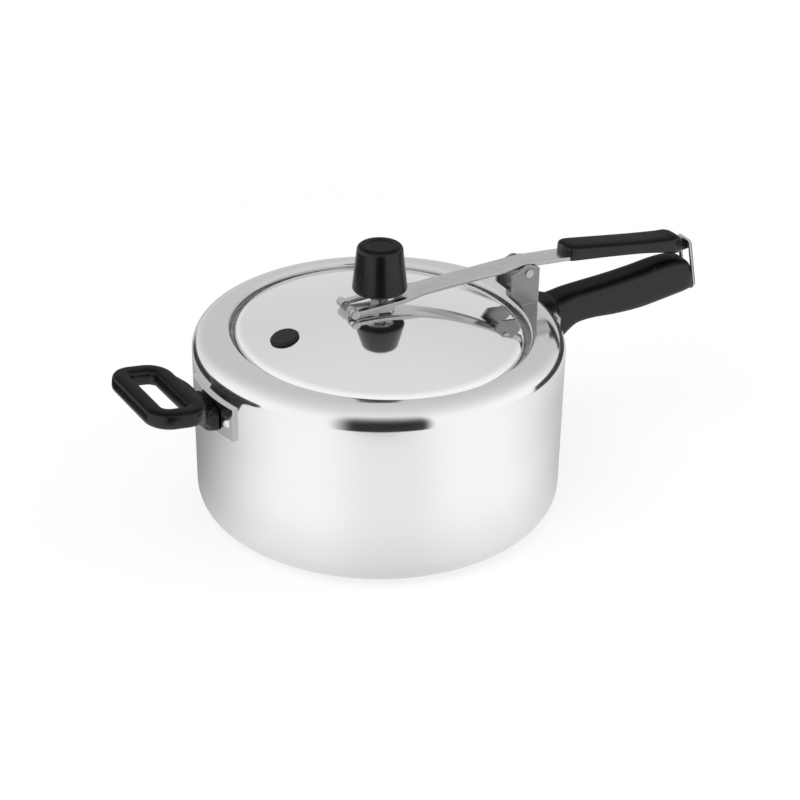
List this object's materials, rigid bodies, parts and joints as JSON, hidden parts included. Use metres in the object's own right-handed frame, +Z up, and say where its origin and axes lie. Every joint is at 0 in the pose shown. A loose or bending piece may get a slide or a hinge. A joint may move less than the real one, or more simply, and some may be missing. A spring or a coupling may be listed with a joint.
{
  "type": "stovetop pressure cooker",
  "caption": "Stovetop pressure cooker: drawn pot with an oval lid pulled up from inside by a lever, wire latch bail, steam vent with weight, long handle and helper handle.",
  "frame": {"origin": "on the pot's axis, in the plane of its base", "axes": "+Z up, +X along the long handle and the lever, +Y to the left when looking along the long handle"},
  "size_m": [0.3988, 0.23, 0.171],
  "materials": {
    "polished_aluminium": "polished",
    "lid_aluminium": "polished",
    "bright_steel": "polished",
    "rivet_aluminium": "satin",
    "zinc_steel": "satin",
    "black_phenolic": "satin",
    "black_rubber": "matte",
    "grey_rubber": "matte"
  },
  "bodies": {
    "pot": {"pot_body": "polished_aluminium", "fulcrum_bracket": "bright_steel", "fulcrum_rivets": "rivet_aluminium", "fulcrum_pin": "bright_steel", "handle_bracket": "bright_steel", "handle_rivets": "rivet_aluminium", "long_handle": "black_phenolic", "handle_screws": "zinc_steel", "helper_bracket": "bright_steel", "helper_rivets": "rivet_aluminium", "helper_handle": "black_phenolic", "helper_screw": "zinc_steel"},
    "lever": {"lever_strap": "bright_steel", "lever_grip": "black_phenolic", "grip_screws": "zinc_steel"},
    "bail": {"latch_bail": "bright_steel"},
    "lid": {"lid_shell": "lid_aluminium", "lid_gasket": "grey_rubber", "pivot_bracket": "bright_steel", "pivot_pins": "zinc_steel", "vent_pipe": "bright_steel", "vent_washer": "grey_rubber", "vent_nut": "bright_steel", "safety_plug": "black_rubber"},
    "weight": {"weight_core": "bright_steel", "weight_cover": "black_phenolic"}
  },
  "joints": [
    {"name": "lever_lift", "type": "hinge", "parent": "pot", "child": "lever", "pos_m": [0.098, 0, 0.139], "axis": [0, -1, 0], "range_deg": [0, 7]},
    {"name": "bail_swing", "type": "hinge", "parent": "pot", "child": "bail", "pos_m": [0.2278, 0, 0.1055], "axis": [0, 1, 0], "range_deg": [0, 161]},
    {"name": "lid_level", "type": "hinge", "parent": "lever", "child": "lid", "pos_m": [-0.021, 0, 0.13287], "axis": [0, -1, 0], "range_deg": [-7, 0]},
    {"name": "weight_lift", "type": "slide", "parent": "lid", "child": "weight", "axis": [0, 0, 1], "range_m": [0, 0.03]}
  ],
  "couplings": [
    {"joint": "lid_level", "follows": "lever_lift", "ratio": -1},
    {"joint": "bail_swing", "follows": "lever_lift", "ratio": 23}
  ]
}
